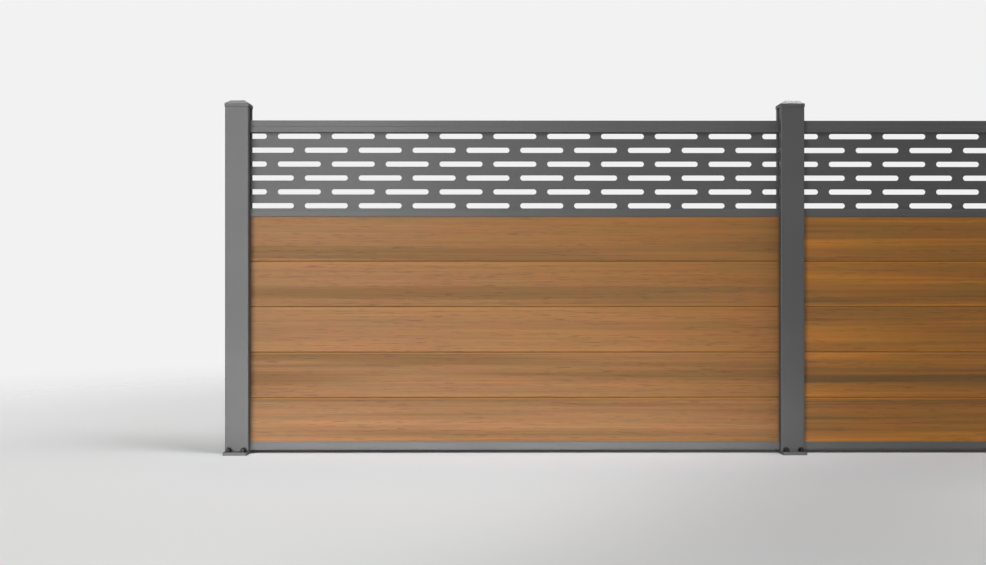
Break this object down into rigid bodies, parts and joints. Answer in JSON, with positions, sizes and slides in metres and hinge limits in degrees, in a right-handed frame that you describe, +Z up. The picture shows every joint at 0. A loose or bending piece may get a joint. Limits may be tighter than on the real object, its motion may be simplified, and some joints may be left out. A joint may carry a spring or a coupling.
{
  "type": "composite fence panel",
  "caption": "Privacy fence with coated metal posts on base plates, horizontal wood-composite boards and a slotted metal screen between the upper rails.",
  "frame": {"origin": "centre of the underside of the middle post's base plate", "axes": "+X along the fence to the right as seen from its front, +Y to the back, +Z up"},
  "size_m": [3.843, 0.16, 1.1975],
  "materials": {
    "coated_post": "satin powder coat",
    "coated_rail": "satin powder coat",
    "coated_sheet": "satin powder coat",
    "coated_plate": "satin powder coat",
    "composite_board": "matt, streaked grain"
  },
  "bodies": {
    "root": {"left_post": "coated_post", "left_post_cap": "coated_post", "left_base_plate": "coated_plate", "middle_post": "coated_post", "middle_post_cap": "coated_post", "middle_base_plate": "coated_plate", "right_post": "coated_post", "right_post_cap": "coated_post", "right_base_plate": "coated_plate", "left_channel_cover": "coated_post", "left_bottom_rail": "coated_rail", "left_mid_rail": "coated_rail", "left_top_rail": "coated_rail", "left_screen": "coated_sheet", "right_channel_cover": "coated_post", "right_bottom_rail": "coated_rail", "right_mid_rail": "coated_rail", "right_top_rail": "coated_rail", "right_screen": "coated_sheet", "left_board_1": "composite_board", "left_board_2": "composite_board", "left_board_3": "composite_board", "left_board_4": "composite_board", "left_board_5": "composite_board", "right_board_1": "composite_board", "right_board_2": "composite_board", "right_board_3": "composite_board", "right_board_4": "composite_board", "right_board_5": "composite_board"}
  },
  "joints": []
}
